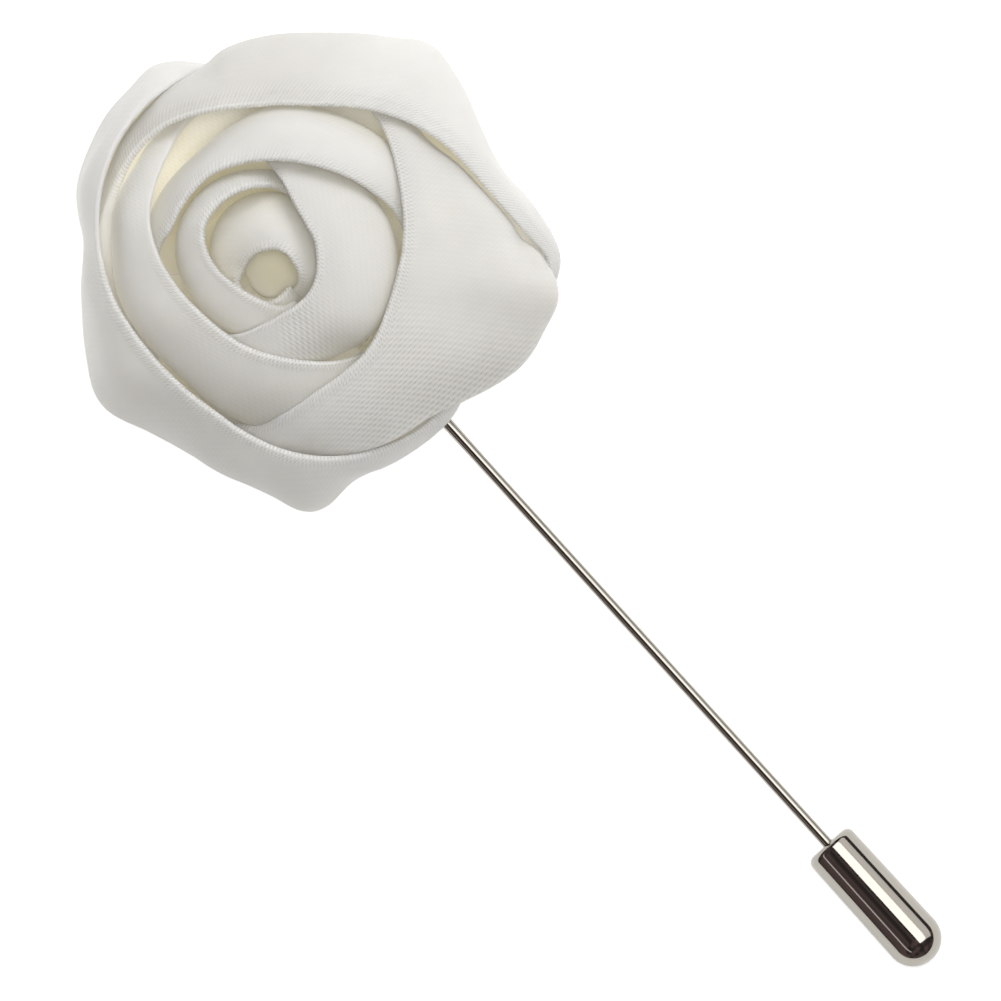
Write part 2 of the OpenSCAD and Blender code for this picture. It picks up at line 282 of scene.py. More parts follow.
def ringFaces(rings, around, fromTop=False):
    # faces between rings of points, with a flat face over the first and the last ring;
    # fromTop is for rings that start at the middle of the top, go out and come down
    i = np.arange(rings - 1)[:, None] * around
    j = np.arange(around)[None, :]
    k = (j + 1) % around
    quads = np.stack([i + j, i + k, i + around + k, i + around + j], -1).reshape(-1, 4)
    first, last = np.arange(around)[::-1], np.arange(around) + (rings - 1) * around
    faces = quads.tolist() + [first.tolist(), last.tolist()]
    return [face[::-1] for face in faces] if fromTop else faces


def newMaterial(name):
    # a material with its node tree and its main shader
    material = bpy.data.materials.new(name)
    material.use_nodes = True
    tree = material.node_tree
    return material, tree, tree.nodes["Principled BSDF"]


def makeNode(tree, kind, inputs=None, **settings):
    # each input is a plain value, or the socket that feeds it
    node = tree.nodes.new(kind)
    for key, value in settings.items():
        setattr(node, key, value)
    for key, value in (inputs or {}).items():
        if isinstance(value, bpy.types.NodeSocket):
            tree.links.new(value, node.inputs[key])
        else:
            node.inputs[key].default_value = value
    return node


def maths(tree, operation, a, b=0.0):
    # one operation on a and b, which are numbers or sockets
    return makeNode(tree, "ShaderNodeMath", {0: a, 1: b}, operation=operation).outputs[0]


def mapped(tree, value, low, high, toLow, toHigh):
    # low to high becomes toLow to toHigh by a straight line, and stays at its ends beyond them
    inputs = {"Value": value, "From Min": low, "From Max": high, "To Min": toLow, "To Max": toHigh}
    return makeNode(tree, "ShaderNodeMapRange", inputs).outputs[0]


def mixed(tree, share, first, second):
    # from the first colour to the second
    return makeNode(tree, "ShaderNodeMix", {0: share, 6: first, 7: second}, data_type="RGBA").outputs[2]


def noise(tree, place, scale, detail, **more):
    # even grey clouds of about 1 / scale metres
    inputs = {"Vector": place, "Scale": scale, "Detail": detail, **more}
    return makeNode(tree, "ShaderNodeTexNoise", inputs).outputs["Fac"]


def bumped(tree, height, depth, **more):
    # a normal that leans with the height, as if it stood out by depth mm
    inputs = {"Height": height, "Distance": depth * mm, **more}
    return makeNode(tree, "ShaderNodeBump", inputs).outputs[0]


def attribute(tree, name):
    # a value that the petal's points carry
    return makeNode(tree, "ShaderNodeAttribute", attribute_name=name).outputs["Fac"]


satin = {
    "white": (0.93, 0.915, 0.872, 1),
    # the painted warm tint of the deep folds, in place of light bounced about in them
    "paintedFoldWarmth": (0.90, 0.85, 0.68, 1),
    "roughness": 0.40,
    "through": 0.8,            # share of the light that goes into the cloth
    "spread": 2.0,             # mm that it travels there
    "glow": 0.09,              # painted glow in the deepest folds, in place of light that comes through the cloth
    "weaveDepth": 0.06,        # mm, at a quarter of its strength
    "twillDepth": 0.036,       # mm
    "strandDepth": 0.022,      # mm
}


def satinMaterial():
    # twill and rope are waves of the petals' own attributes; they darken and lighten the colour as painted
    # shade and highlight over the weave's own pattern, and stand out of it
    material, tree, shader = newMaterial("satin")
    place = makeNode(tree, "ShaderNodeTexCoord").outputs["Object"]
    grain = noise(tree, place, 4200.0, 2.0)
    blotch = noise(tree, place, 260.0, 3.0)

    # twill: long ribs, broken into lozenges by the threads that cross them
    rib = maths(tree, "SINE", maths(tree, "MULTIPLY", attribute(tree, "twill"), 2 * math.pi))
    thread = maths(tree, "SINE", maths(tree, "MULTIPLY", attribute(tree, "cross"), 2 * math.pi))
    broken = mapped(tree, thread, -1.0, 1.0, -0.1, 1.0)
    twill = maths(tree, "MULTIPLY", maths(tree, "MULTIPLY", rib, broken), attribute(tree, "ribs"))

    # rope: one rounded strand to each pitch of the folded edge, in rows that are half a pitch apart
    turn = maths(tree, "ADD", attribute(tree, "strand"),
                 maths(tree, "MULTIPLY", maths(tree, "FLOOR", attribute(tree, "row")), 0.5))
    strand = maths(tree, "COSINE", maths(tree, "MULTIPLY", turn, 2 * math.pi))
    across = maths(tree, "MULTIPLY", attribute(tree, "row"), math.pi)
    width = maths(tree, "ABSOLUTE", maths(tree, "SINE", across))
    rope = maths(tree, "MULTIPLY", maths(tree, "MULTIPLY", strand, width), attribute(tree, "edge"))

    # the white cloth, tinted warmer in the deep folds as painted shade
    paintedShading = mixed(tree, attribute(tree, "paintedFoldWarmth"), satin["white"], satin["paintedFoldWarmth"])
    # the weave's pattern, with painted shade in the grooves of twill and rope and a painted highlight along
    # the strands' tops
    shade = maths(tree, "MULTIPLY", mapped(tree, blotch, 0.3, 0.7, 0.975, 1.015),
                  maths(tree, "MULTIPLY", mapped(tree, twill, -1.0, 0.6, 0.70, 1.03),
                        mapped(tree, rope, -0.9, 0.7, 0.86, 1.09)))
    # painted light and shade by angle, from each petal's table
    shade = maths(tree, "MULTIPLY", shade, attribute(tree, "paintedShading"))
    colour = makeNode(tree, "ShaderNodeVectorMath", {0: paintedShading, "Scale": shade}, operation="SCALE").outputs[0]
    tree.links.new(colour, shader.inputs["Base Color"])

    weave = bumped(tree, grain, satin["weaveDepth"], Strength=0.25)
    ribbed = bumped(tree, twill, satin["twillDepth"], Normal=weave)
    corded = bumped(tree, rope, satin["strandDepth"], Normal=ribbed)
    tree.links.new(corded, shader.inputs["Normal"])
    # painted glow: the cloth gives off its own colour in the deep folds
    tree.links.new(paintedShading, shader.inputs["Emission Color"])
    tree.links.new(maths(tree, "MULTIPLY", attribute(tree, "glow"), satin["glow"]),
                   shader.inputs["Emission Strength"])
    material.cycles.emission_sampling = "NONE"  # the glow is too faint to be sampled as a lamp
    shader.inputs["Subsurface Weight"].default_value = satin["through"]
    shader.inputs["Subsurface Radius"].default_value = (1.0, 0.96, 0.88)
    shader.inputs["Subsurface Scale"].default_value = satin["spread"] * mm
    shader.inputs["Roughness"].default_value = satin["roughness"]
    shader.inputs["Specular IOR Level"].default_value = 0.35
    shader.inputs["Sheen Weight"].default_value = 0.15
    shader.inputs["Sheen Roughness"].default_value = 0.4
    return material


wool = {"dull": (0.80, 0.785, 0.74, 1), "light": (0.86, 0.85, 0.81, 1), "nap": 0.2}


def feltMaterial():
    # cloudy off-white wool with a curly nap, its height in mm
    material, tree, shader = newMaterial("wool felt")
    place = makeNode(tree, "ShaderNodeTexCoord").outputs["Object"]
    curl = noise(tree, place, 1500.0, 5.0, Distortion=1.5)
    tuft = mapped(tree, noise(tree, place, 350.0, 2.0), 0.3, 0.7, 0.0, 1.0)
    tree.links.new(mixed(tree, tuft, wool["dull"], wool["light"]), shader.inputs["Base Color"])
    tree.links.new(bumped(tree, curl, wool["nap"], Strength=0.8), shader.inputs["Normal"])
    shader.inputs["Roughness"].default_value = 0.95
    shader.inputs["Specular IOR Level"].default_value = 0.1
    shader.inputs["Sheen Weight"].default_value = 0.5
    return material


nickel = {
    "light": (0.50, 0.48, 0.43, 1), "dull": (0.45, 0.425, 0.375, 1),
    "smooth": 0.05, "rough": 0.12, "markDepth": 0.02,
}


def nickelMaterial():
    # drawn lengthwise, so its fine marks run along the needle
    material, tree, shader = newMaterial("nickel plate")
    place = makeNode(tree, "ShaderNodeTexCoord").outputs["Object"]
    along = makeNode(tree, "ShaderNodeMapping", {"Vector": place, "Scale": (60.0, 900.0, 900.0)}).outputs[0]
    drawn = noise(tree, along, 1.0, 3.0)
    roughness = mapped(tree, drawn, 0.3, 0.7, nickel["smooth"], nickel["rough"])
    tree.links.new(roughness, shader.inputs["Roughness"])
    tree.links.new(bumped(tree, drawn, nickel["markDepth"], Strength=0.2), shader.inputs["Normal"])
    tree.links.new(mixed(tree, drawn, nickel["light"], nickel["dull"]), shader.inputs["Base Color"])
    shader.inputs["Metallic"].default_value = 1.0
    return material


satinCloth, woolFelt, nickelPlate = satinMaterial(), feltMaterial(), nickelMaterial()
print("finishes made")


# A petal's foot is the radius of its standing edge, and its shelf the height where it leaves the base.
# band is the folded edge's breadth, ribbed and patch the angles where strands and twill show, lean the
# strands' slant, and grain the twill's. Further keys tint the deep folds warmer as painted shade, scale a
# painted glow in them (litIn, litOut), and paint light and shade by angle; fat thickens it.
# A row: angle about the bud, rim radius, rim height, hem radius, hem height.
heartRoll = {
    "foot": 1.2, "shelf": 10.9, "seed": 1, "band": 0.7, "twill": 0.15, "paintedFoldWarmth": 1.0, "paintedFoldWarmthFrom": (-0.6, 4.0),
    "paintedShading": [[0, 0.97]],
    "rows": [
        [-36, 2.4, 13.8, 4.0, 12.2], [-20, 2.5, 14.8, 4.6, 12.5], [0, 2.4, 15.6, 5.0, 12.8],
        [28, 2.2, 16.0, 5.4, 13.0], [60, 2.3, 16.2, 6.0, 13.2], [92, 2.4, 16.0, 6.8, 13.4],
        [120, 2.5, 15.6, 6.8, 13.4], [146, 2.7, 14.9, 6.2, 13.0], [170, 2.9, 14.0, 5.2, 12.4],
        [195, 3.4, 13.3, 4.4, 11.5], [220, 3.2, 13.2, 4.2, 11.5], [250, 2.8, 13.2, 4.0, 11.5],
        [280, 2.3, 13.3, 3.7, 11.5], [300, 2.0, 13.3, 3.6, 11.5], [322, 1.9, 13.3, 3.3, 11.5]],
}
budLeftPetal = {
    "foot": 2.7, "shelf": 10.3, "seed": 2, "band": 0.7, "twill": 0.2, "grain": -40, "paintedFoldWarmth": 1.0,
    "paintedFoldWarmthFrom": (0.2, 3.6), "paintedShading": [[180, 1], [215, 0.95]],
    "rows": [
        [66, 7.0, 13.4, 8.3, 11.7], [78, 7.3, 13.8, 8.6, 11.9], [88, 7.8, 14.9, 8.8, 12.4],
        [98, 8.0, 16.4, 9.0, 13.4], [110, 8.1, 17.4, 9.2, 14.6], [128, 8.0, 17.7, 9.4, 15.0],
        [146, 7.6, 17.8, 9.2, 15.0], [160, 6.6, 17.9, 8.8, 15.0], [174, 5.4, 17.9, 8.2, 15.0],
        [190, 4.2, 17.8, 7.4, 15.0], [208, 3.4, 17.6, 6.8, 15.0], [232, 2.9, 17.4, 6.2, 14.8],
        [258, 2.9, 16.8, 5.6, 14.0], [284, 3.2, 15.6, 5.3, 12.6], [304, 3.2, 14.2, 5.0, 11.6]],
}
budRightPetal = {
    "foot": 4.2, "shelf": 9.6, "seed": 3, "band": 0.6, "twill": 1.3, "grain": -36, "patch": (-85, -5),
    "paintedShading": [[0, 0.94]], "paintedFoldWarmthFrom": (0.5, 5.0),
    "rows": [
        [-134, 7.6, 14.2, 9.0, 11.2], [-122, 6.6, 16.0, 8.8, 12.4], [-104, 5.0, 17.2, 8.5, 14.0],
        [-80, 3.9, 17.7, 8.4, 14.3], [-54, 3.7, 18.0, 8.6, 14.0], [-30, 3.8, 18.1, 9.8, 15.4],
        [-6, 4.0, 18.1, 10.5, 15.6], [18, 4.3, 18.1, 10.8, 15.4], [40, 4.9, 18.0, 10.8, 15.0],
        [58, 5.5, 17.8, 10.6, 14.0], [74, 6.7, 17.3, 10.6, 12.8], [85, 8.5, 16.5, 11.0, 12.0],
        [94, 10.2, 14.7, 11.2, 11.5]],
}
innerTopPetal = {
    "foot": 5.7, "shelf": 8.8, "seed": 4, "band": 0.9, "lean": 0.9, "twill": 0.5, "grain": 20,
    "patch": (15, 70), "paintedFoldWarmthFrom": (0.5, 5.0), "litOut": [[85, 1], [100, 1.8], [150, 1.8], [165, 1]],
    "rows": [
        [12, 12.4, 13.4, 13.8, 10.5], [26, 12.3, 15.6, 14.4, 12.4], [40, 11.6, 16.8, 15.0, 13.2],
        [56, 10.9, 17.3, 15.0, 13.4], [74, 10.4, 17.5, 14.6, 14.0], [92, 10.3, 17.5, 14.3, 14.2],
        [106, 10.4, 17.4, 13.4, 14.0], [122, 10.6, 17.2, 12.4, 13.8], [138, 10.4, 16.8, 11.9, 13.4],
        [156, 10.2, 16.0, 11.7, 12.8], [167, 10.6, 14.8, 11.8, 12.2], [180, 10.7, 13.6, 11.1, 11.4]],
}
innerLeftPetal = {
    "foot": 7.2, "shelf": 8.0, "seed": 5, "band": 0.9, "twill": 0.2, "grain": -30, "ribbed": (165, 400),
    "paintedFoldWarmth": 0.4, "paintedFoldWarmthFrom": (0.3, 5.0),
    "litOut": [[110, 1.4], [121, 4.0], [146, 4.0], [160, 2.0], [200, 1.6], [225, 0.6], [250, 0.3]],
    "litIn": [[100, 1], [112, 1.9], [150, 1.9], [168, 1.4]],
    "paintedShading": [[190, 1], [212, 0.91], [250, 0.89], [275, 0.85], [300, 0.80]],
    "rows": [
        [84, 17.4, 11.2, 18.0, 9.5], [96, 17.0, 10.9, 17.5, 9.6], [109, 16.4, 11.5, 16.9, 9.6],
        [121, 15.6, 12.8, 16.2, 9.6], [131, 14.5, 14.6, 15.8, 11.6], [142, 13.5, 15.9, 15.3, 13.0],
        [156, 12.3, 16.9, 15.0, 13.6], [170, 10.7, 17.4, 14.2, 13.4], [188, 8.9, 17.7, 13.4, 13.6],
        [208, 7.6, 17.9, 12.4, 14.0], [230, 7.1, 17.9, 12.0, 14.0], [252, 7.2, 17.7, 12.8, 13.4],
        [272, 7.6, 17.2, 13.4, 12.6], [290, 8.5, 16.4, 13.4, 12.0], [305, 9.7, 15.0, 13.3, 11.0],
        [318, 10.7, 13.2, 13.2, 9.6]],
}
rightPetal = {
    "foot": 8.7, "shelf": 7.1, "seed": 6, "band": 1.0, "twill": 1.5, "grain": 44, "patch": (-75, -10),
    "paintedFoldWarmthOut": 0.15, "litOut": [[0, 0.2]],
    "paintedShading": [[-70, 1], [-50, 0.985], [-28, 0.965], [6, 0.94], [40, 0.94]],
    "folds": [[21.0, 4.0, 24.4, -0.5, 0.7, -0.5], [19.8, 3.4, 22.8, -1.6, 0.9, 0.25],
              [12.7, 12.9, 19.2, 5.8, 0.9, -0.22], [7.6, -5.8, 4.0, -11.2, 1.1, -0.25],
              [14.0, 6.0, 20.0, -2.0, 1.5, 0.2]],
    "rows": [
        [-113, 14.0, 11.0, 15.2, 8.7], [-98, 13.8, 13.0, 15.6, 10.0], [-86, 12.7, 15.2, 15.8, 11.8],
        [-70, 11.4, 16.8, 17.0, 11.6], [-54, 11.0, 17.4, 17.7, 11.8], [-42, 11.0, 17.7, 18.4, 10.9],
        [-32, 10.9, 17.8, 20.3, 9.6], [-20, 10.8, 17.9, 23.1, 8.8], [-11, 10.9, 17.9, 24.2, 8.9],
        [-4, 11.1, 17.9, 24.9, 9.4], [3, 11.4, 17.9, 23.6, 9.8], [9, 11.8, 17.8, 21.6, 10.6],
        [18, 12.4, 17.6, 20.1, 11.4], [30, 13.4, 17.2, 18.8, 12.2], [42, 14.8, 16.3, 17.8, 12.4],
        [54, 16.5, 14.2, 18.2, 11.2], [65, 17.7, 11.8, 19.0, 9.2], [78, 18.7, 10.2, 19.3, 8.6]],
}
topPetal = {
    "foot": 10.2, "shelf": 5.8, "seed": 7, "band": 1.9, "groove": 0.95, "lean": 1.0, "twill": 0.1,
    "grain": 60, "ribbed": (-400, 158), "fat": [[132, 1], [152, 1.5], [166, 2.6], [205, 2.6], [216, 1.6]],
    "paintedFoldWarmthOut": 0.05, "litOut": [[20, 0.3], [60, 0.3], [75, 0], [145, 0], [165, 1.0]],
    "litIn": [[20, 2.0], [50, 1.6], [60, 1.2], [80, 1.8], [120, 1.8], [145, 2.4], [200, 2.8]],
    "paintedShading": [[20, 1.05], [50, 1.03], [64, 1.01], [80, 0.91], [112, 0.86], [125, 0.82], [150, 0.93]],
    "rows": [
        [-3, 24.2, 8.0, 24.6, 6.2], [3, 24.6, 8.9, 25.2, 6.7], [8, 23.3, 10.3, 24.7, 7.4],
        [15, 21.7, 11.7, 23.5, 7.4], [25, 20.3, 12.9, 22.1, 7.4], [37, 19.3, 14.2, 22.2, 7.4],
        [48, 18.3, 14.9, 23.5, 7.4], [56, 17.5, 15.2, 24.5, 7.4], [64, 16.7, 15.5, 23.2, 7.4],
        [77, 15.6, 15.8, 21.7, 7.4], [92, 15.2, 15.9, 20.9, 7.4], [102, 15.3, 15.9, 20.2, 7.4],
        [107, 15.5, 15.9, 19.4, 7.4], [112, 15.7, 15.8, 18.9, 8.2], [119, 16.1, 15.4, 18.6, 9.4],
        [128, 16.5, 14.8, 18.1, 10.8], [139, 16.5, 13.9, 17.6, 11.2], [151, 16.1, 12.8, 16.7, 10.2],
        [166, 15.5, 11.6, 15.7, 8.0], [180, 15.0, 10.6, 15.1, 7.4], [198, 14.6, 9.6, 14.7, 7.2],
        [216, 14.6, 8.4, 14.9, 7.0]],
}
outerPetal = {
    "foot": 11.7, "shelf": 4.5, "seed": 8, "band": 1.0, "twill": 0.15, "swell": 0.22, "ribbed": (172, 400),
    "paintedFoldWarmthOut": 0.05, "litOut": [[135, 0], [155, 0.4], [178, 1.0], [204, 0.9], [222, 0]],
    "litIn": [[115, 2], [200, 1.8], [240, 0.8]],
    "paintedShading": [[120, 1.04], [150, 1.06], [188, 1.07], [205, 1.0], [225, 0.94], [275, 0.95], [290, 1.03],
             [300, 1.06]],
    "rows": [
        [109, 19.5, 6.6, 19.6, 4.7], [115, 19.5, 8.2, 20.6, 5.8],
        [121, 19.3, 10.8, 21.3, 6.0], [129, 19.0, 13.2, 20.5, 6.0], [141, 18.3, 14.8, 19.9, 6.1],
        [155, 17.2, 15.3, 18.9, 6.1], [172, 15.8, 15.4, 16.9, 6.1], [188, 14.7, 15.4, 17.0, 6.1],
        [203, 13.7, 15.4, 18.0, 6.1], [216, 13.2, 15.4, 18.8, 6.0], [230, 13.1, 15.4, 17.6, 6.0],
        [246, 13.5, 15.4, 17.4, 6.0], [260, 14.6, 15.3, 18.2, 6.0], [270, 15.6, 15.1, 19.4, 6.0],
        [279, 16.5, 14.6, 20.7, 6.0], [290, 17.5, 13.4, 19.4, 6.0], [301, 18.3, 11.8, 19.3, 6.0],
        [312, 19.0, 9.4, 19.6, 5.9], [323, 19.3, 7.0, 19.9, 5.4],
        [332, 18.7, 6.0, 19.2, 4.9]],
}

petals = {
    "heartRoll": (heartRoll, "heart_roll"),
    "budLeftPetal": (budLeftPetal, "bud_left_petal"),
    "budRightPetal": (budRightPetal, "bud_right_petal"),
    "innerTopPetal": (innerTopPetal, "inner_top_petal"),
    "innerLeftPetal": (innerLeftPetal, "inner_left_petal"),
    "rightPetal": (rightPetal, "right_petal"),
    "topPetal": (topPetal, "top_petal"),
    "outerPetal": (outerPetal, "outer_petal"),
}
for name, (look, node) in petals.items():
    points, values, rimLength = petalSurface(look)
    piece = shellPiece(name, points, values, satinCloth)
    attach(piece, "flower")
    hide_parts(node)
    print(name, "rim", round(rimLength, 1), "mm, faces", len(piece.data.polygons))

# The gathered and glued ribbon end under the petals, all sizes in mm
base = {
    "radius": 12.3, "floor": 1.5, "top": 3.8, "edge": 0.25, "pleats": 46, "pleatDepth": 0.28,
    "core": 0.6, "coreTop": 10.5, "flareFrom": 9.3, "twist": 2.2,
    "hollow": 5.75, "hollowTop": 2.3, "slot": 0.75, "slotTop": 3.22, "around": 230,
}


def ribbonBase():
    # top from the core outwards, down the pleated wall, and in again under the hollow for pad and wire
    theta = np.linspace(0, 2 * math.pi, base["around"], endpoint=False)
    fold = 1 - np.abs(np.cos(theta * base["pleats"] / 2))
    rings = []

    def ring(radius, height, pleat=0.0):
        r = radius - pleat * base["pleatDepth"] * fold
        rings.append(np.c_[r * np.cos(theta), r * np.sin(theta), np.zeros(len(theta)) + height])

    # the core ends in a flat tuft, as wide as the heart's floor is there
    heartRows = np.array(heartRoll["rows"])
    place = (np.degrees(theta) - heartRows[0, 0]) % 360 + heartRows[0, 0]
    tuft = 1.0 + 0.44 * (np.interp(place, heartRows[:, 0], heartRows[:, 3]) - 1.2)
    for share in (0.02, 0.2, 0.4, 0.6, 0.8, 0.93, 0.99):
        ring(tuft * share, base["coreTop"] - 0.06 * (1 - share) - 0.1 * smooth(0.9, 1, share))
    for height in np.linspace(base["coreTop"] - 0.2, base["top"] + 0.2, 44):
        strand = 1 - 0.07 * (1 + np.cos(3 * (theta - base["twist"] * height)))
        wide = smooth(base["flareFrom"], base["coreTop"], height) ** 1.5
        ring(base["core"] * strand + (tuft - base["core"]) * wide, height)
    for radius in np.linspace(1.0, base["radius"] - 0.35, 22):
        ring(radius, base["top"] - 0.14 * fold * smooth(1.5, 9.0, radius))
    for turn in np.radians([30, 60, 90]):
        inwards, down = base["edge"] * (1 - math.sin(turn)), base["edge"] * (1 - math.cos(turn))
        ring(base["radius"] - inwards, base["top"] - down - 0.1, 1.0)
    for height in np.linspace(base["top"] - 0.6, base["floor"] + 0.25, 8):
        ring(base["radius"], height, 1.0)
    for radius in np.linspace(base["radius"] - 0.2, 0.05, 62):
        ring(radius, base["floor"], smooth(11.0, 12.0, radius))
        under = rings[-1]
        x, y = placeFlower(under[:, 0], under[:, 1])
        inPad = 1 - smooth(base["hollow"] - 0.1, base["hollow"] + 0.1, np.hypot(x, y))
        inSlot = (1 - smooth(base["slot"] - 0.08, base["slot"] + 0.08, np.abs(y))) * smooth(-0.9, -0.7, x)
        under[:, 2] += np.maximum(inPad * (base["hollowTop"] - base["floor"]),
                                  inSlot * (base["slotTop"] - base["floor"]))
    points = np.concatenate(rings)
    x, y = placeFlower(points[:, 0], points[:, 1])
    faces = ringFaces(len(rings), len(theta), fromTop=True)
    piece = addPiece("ribbonBase", np.c_[x, y, points[:, 2]], faces, satinCloth)
    # the whole base takes the painted warm tint and a painted glow, which lighten the pit between the
    # petals
    for key, value in (("paintedFoldWarmth", 1.0), ("glow", 0.7), ("paintedShading", 1.0)):
        deep = piece.data.attributes.new(key, "FLOAT", "POINT")
        deep.data.foreach_set("value", np.full(len(points), value, np.float32))
    return piece


def placeFlower(x, y):
    # from the flower's own axes to the pin's
    turn = math.radians(flower["turn"])
    return (x * math.cos(turn) - y * math.sin(turn) + flower["axis"][0],
            x * math.sin(turn) + y * math.cos(turn) + flower["axis"][1])


felt = {
    "radius": 12.5, "thick": 1.4, "soft": 0.3, "around": 240,
    "fibres": 1500, "fibreLength": 0.7, "fibre": 0.02,
}


def feltDisc():
    # an unevenly cut disc, with loose fibres round its edge
    theta = np.linspace(0, 2 * math.pi, felt["around"], endpoint=False)
    uneven = 0.06 * wander(12 * np.cos(theta), 12 * np.sin(theta), 31, 5.0) - 0.08
    r, top, soft = felt["radius"], felt["thick"], felt["soft"]
    turn = np.radians(np.linspace(0, 90, 5))
    rims = [(r - soft * (1 - math.sin(a)), top - soft * (1 - math.cos(a))) for a in turn]
    rims += [(r, felt["thick"] - z) for r, z in rims[::-1]]
    inner = np.linspace(0.1, felt["radius"] - soft - 0.2, 30)
    profile = [(r, felt["thick"]) for r in inner] + rims + [(r, 0.0) for r in inner[::-1]]
    rings = []
    for r, z in profile:
        rr = r + uneven * r / felt["radius"]
        x, y = rr * np.cos(theta), rr * np.sin(theta)
        dent = 0.035 * (1 - wander(x, y, 32 if z > 0.7 else 33, 3.0)) * (1 if z < 0.7 else -1)
        rings.append(np.c_[x, y, np.clip(z + dent, 0.005, felt["thick"] - 0.005)])
    points = np.concatenate(rings)
    faces = ringFaces(len(rings), len(theta), fromTop=True)

    # each fibre is a thin four-sided spike that curls away from the edge
    rng = np.random.default_rng(34)
    n = felt["fibres"]
    at, up = rng.uniform(0, 2 * math.pi, n), rng.uniform(0.25, 1.15, n)
    aside, rise = rng.uniform(-1.2, 1.2, n), rng.uniform(-0.5, 0.5, n)
    reach = felt["fibreLength"] * rng.uniform(0.3, 1.0, n)
    fibrePoints = []
    for share, thick in ((0, 1.0), (0.5, 0.8), (1, 0.2)):
        bend = at + reach * share * aside * (0.4 + share) / felt["radius"]
        far = felt["radius"] - 0.3 + reach * share * (1 - 0.35 * share)
        height = np.clip(up + rise * share * reach, 0.03, felt["thick"])
        for du, dv in ((1, 0), (0, 1), (-1, 0), (0, -1)):
            swing = bend + felt["fibre"] * thick * du / felt["radius"]
            fibrePoints.append(np.c_[far * np.cos(swing), far * np.sin(swing),
                                     height + felt["fibre"] * thick * dv])
    fibrePoints = np.stack(fibrePoints, 1)
    single = np.array(ringFaces(3, 4))
    fibreFaces = single[None] + (np.arange(n) * 12)[:, None, None] + len(points)
    points = np.concatenate([points, fibrePoints.reshape(-1, 3)])
    x, y = placeFlower(points[:, 0], points[:, 1])
    faces += fibreFaces.reshape(-1, 4).tolist()
    return addPiece("feltDisc", np.c_[x, y, points[:, 2]], faces, woolFelt)


needle = {"z": 2.55, "padRadius": 5.5, "padFloor": 1.5, "padTop": 2.2, "padEdge": 0.15}
needleProfile = [
    # place along the needle and radius there
    [0.0, 0.40], [0.08, 0.55], [0.2, 0.60], [7.0, 0.567], [14.0, 0.533], [21.0, 0.50], [36.0, 0.50],
    [52.0, 0.50], [68.0, 0.50], [68.3, 0.495], [68.8, 0.49], [69.4, 0.47], [73.5, 0.42], [75.5, 0.34],
    [77.2, 0.20], [78.2, 0.10], [78.5, 0.04]]


def turned(profile, axisZ, around=64):
    # profile of [x, radius] carried round the needle's line: y = radius cos a, z = radius sin a + axisZ
    profile = np.array(profile, float)
    a = np.linspace(0, 2 * math.pi, around, endpoint=False)
    x = np.repeat(profile[:, :1], around, 1)
    y, z = profile[:, 1:] * np.cos(a), profile[:, 1:] * np.sin(a) + axisZ
    return np.stack([x, y, z], -1).reshape(-1, 3), ringFaces(len(profile), around)


def pinStick():
    # the wire, and the round pad that it is soldered to
    wire, wireFaces = turned(needleProfile, needle["z"], 48)
    r, e, low, high = needle["padRadius"], needle["padEdge"], needle["padFloor"], needle["padTop"]
    turn = np.radians(np.linspace(0, 90, 5))
    rims = [(r - e + e * math.sin(a), high - e + e * math.cos(a)) for a in turn]
    profile = [(0.05, high)] + [(q, high) for q in (2.0, 4.0)] + rims
    profile += [(q, low + high - h) for q, h in profile[::-1]]
    a = np.linspace(0, 2 * math.pi, 96, endpoint=False)
    pad = np.concatenate([np.c_[q * np.cos(a), q * np.sin(a), 0 * a + h] for q, h in profile])
    padFaces = [[i + len(wire) for i in face] for face in ringFaces(len(profile), 96, fromTop=True)]
    return addPiece("pinStick", np.concatenate([wire, pad]), wireFaces + padFaces, nickelPlate)


cap = {
    "x": 68.5, "z": 2.55, "length": 14.0, "mouth": 2.45, "dome": 2.55, "round": 0.7,
    "bore": 0.5, "boreLength": 10.8,
}


def pinCap():
    # out over the flat end's round edge, along a slight swell, over the dome, and back down the bore
    edge = np.radians(np.linspace(-90, 0, 14))
    dome = np.radians(np.linspace(0, 89, 40))
    front = np.c_[cap["round"] * (1 + np.sin(edge)), cap["mouth"] - cap["round"] * (1 - np.cos(edge))]
    back = np.c_[cap["length"] - cap["dome"] * (1 - np.sin(dome)), cap["dome"] * np.cos(dome)]
    body = np.linspace([front[-1, 0], cap["mouth"]], [back[0, 0], cap["dome"]], 12)[1:-1]
    deep, bore = cap["boreLength"], cap["bore"]
    bore = [[deep, 0.02], [deep, bore], [0.03, bore], [0, bore + 0.03]]
    points, faces = turned(np.concatenate([bore, front, body, back]) + [cap["x"], 0], cap["z"], 96)
    return addPiece("pinCap", points, faces, nickelPlate)


# the node each replaces, with its maker, body and slot
others = {
    "ribbon_base": (ribbonBase, "flower", "satin"),
    "felt_disc": (feltDisc, "flower", "felt"),
    "pin_stick": (pinStick, "flower", "needle"),
    "pin_cap": (pinCap, "cap", "cap"),
}
for node, (make, body, slot) in others.items():
    piece = make()
    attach(piece, body)
    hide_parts(node)
    print(piece.name, "faces", len(piece.data.polygons))

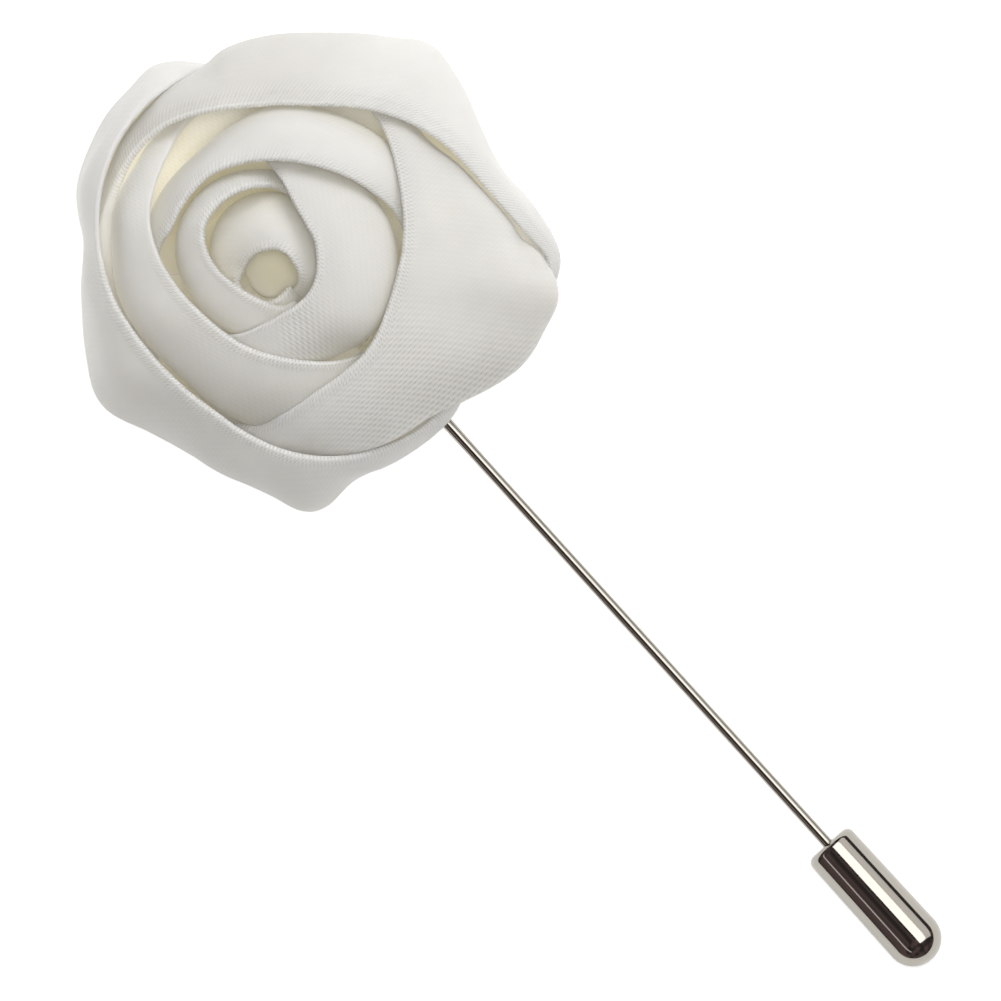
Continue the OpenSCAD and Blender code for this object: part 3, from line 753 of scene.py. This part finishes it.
# white paper, which glows a little so that it stays white in the picture
floor = {"half": 3.0, "white": (0.92, 0.92, 0.92, 1), "glow": 0.60, "glowBack": 0.26}
bpy.ops.mesh.primitive_plane_add(size=2 * floor["half"], location=(0, 0, 0))
ground = bpy.context.object
ground.name = "floor"
material, tree, shader = newMaterial("paper")
shader.inputs["Base Color"].default_value = floor["white"]
shader.inputs["Roughness"].default_value = 0.9
shader.inputs["Emission Color"].default_value = (1, 1, 1, 1)
ray = makeNode(tree, "ShaderNodeLightPath").outputs["Is Camera Ray"]
glow = mapped(tree, ray, 0.0, 1.0, floor["glowBack"], floor["glow"])
tree.links.new(glow, shader.inputs["Emission Strength"])
ground.data.materials.append(material)

# Panels stand round the aim, tilted from straight above towards the turn direction; sizes in metres
studio = {
    "aim": (26.0, -1.1, 8.0),  # mm
    "softbox": {"tilt": 24.5, "away": 0.60, "across": 0.38, "along": 0.90, "watts": 2.4, "onCloth": False},
    "card": {"tilt": 58.0, "away": 0.60, "across": 0.33, "along": 0.90, "watts": 0.8, "onCloth": False},
    "line": {"tilt": -52.0, "away": 0.60, "across": 0.05, "along": 0.90, "watts": 0.10, "onCloth": False},
    "front": {"tilt": 0.0, "away": 1.00, "across": 0.30, "along": 0.30, "watts": 4.0, "seenInGloss": False},
    "high": {"tilt": 45.0, "away": 0.80, "across": 0.50, "along": 0.50, "watts": 3.4, "turn": 118.0,
             "seenInGloss": False},
    "sky": 0.155,
    "skyTint": (1.0, 0.965, 0.925, 1),
    "room": 1.0,
    "corner": (0.035, 0.032, 0.032, 1),
    "wall": (0.125, 0.088, 0.09, 1),
}


def addPanel(name, tilt, away, across, along, watts, turn=90.0, seenInGloss=True, onCloth=True):
    # a rectangular light that looks at the aim; it may be left out of the metal or off the cloth
    light = bpy.data.lights.new(name, "AREA")
    light.shape, light.size, light.size_y, light.energy = "RECTANGLE", along, across, watts
    lamp = bpy.data.objects.new(name, light)
    bpy.context.scene.collection.objects.link(lamp)
    t, a = math.radians(tilt), math.radians(turn)
    way = np.array([math.cos(a) * math.sin(t), math.sin(a) * math.sin(t), math.cos(t)])
    lamp.location = np.array(studio["aim"]) * mm + way * away
    lamp.rotation_euler = (-t, 0, a - math.pi / 2)
    lamp.visible_camera = False
    lamp.visible_glossy = seenInGloss
    lamp.visible_diffuse = onCloth


for name in ("softbox", "card", "line", "front", "high"):
    addPanel(name, **studio[name])

# white behind everything, a soft warm sky on the cloth, and a dim room in the metal
world = bpy.data.worlds.new("studio")
bpy.context.scene.world = world
world.use_nodes = True
tree = world.node_tree
path = makeNode(tree, "ShaderNodeLightPath").outputs
gloss = mapped(tree, path["Is Glossy Ray"], 0.0, 1.0, studio["sky"], studio["room"])
seen = maths(tree, "MAXIMUM", gloss, path["Is Camera Ray"])
place = makeNode(tree, "ShaderNodeTexCoord").outputs["Generated"]
corners = mapped(tree, noise(tree, place, 2.6, 1.0), 0.4, 0.6, 0.0, 1.0)
colour = mixed(tree, path["Is Camera Ray"], studio["skyTint"], (1, 1, 1, 1))
colour = mixed(tree, path["Is Glossy Ray"], colour, mixed(tree, corners, studio["corner"], studio["wall"]))
tree.links.new(colour, tree.nodes["Background"].inputs["Color"])
tree.links.new(seen, tree.nodes["Background"].inputs["Strength"])

camera = {"centre": (26.0, -1.1), "view": 89.4, "lens": 700.0, "level": 10.0, "right": (0.67123, 0.74125)}
eye = bpy.data.cameras.new("camera")
eye.lens, eye.sensor_width = camera["lens"], 36.0
eye.clip_start, eye.clip_end = 0.05, 30.0
cameraObject = bpy.data.objects.new("camera", eye)
bpy.context.scene.collection.objects.link(cameraObject)
height = camera["level"] + camera["view"] / 36.0 * camera["lens"]
cameraObject.location = (camera["centre"][0] * mm, camera["centre"][1] * mm, height * mm)
cameraObject.rotation_euler = (0, 0, math.atan2(camera["right"][1], camera["right"][0]))
bpy.context.scene.camera = cameraObject
bpy.context.scene.view_settings.view_transform = "Standard"
print("studio ready")
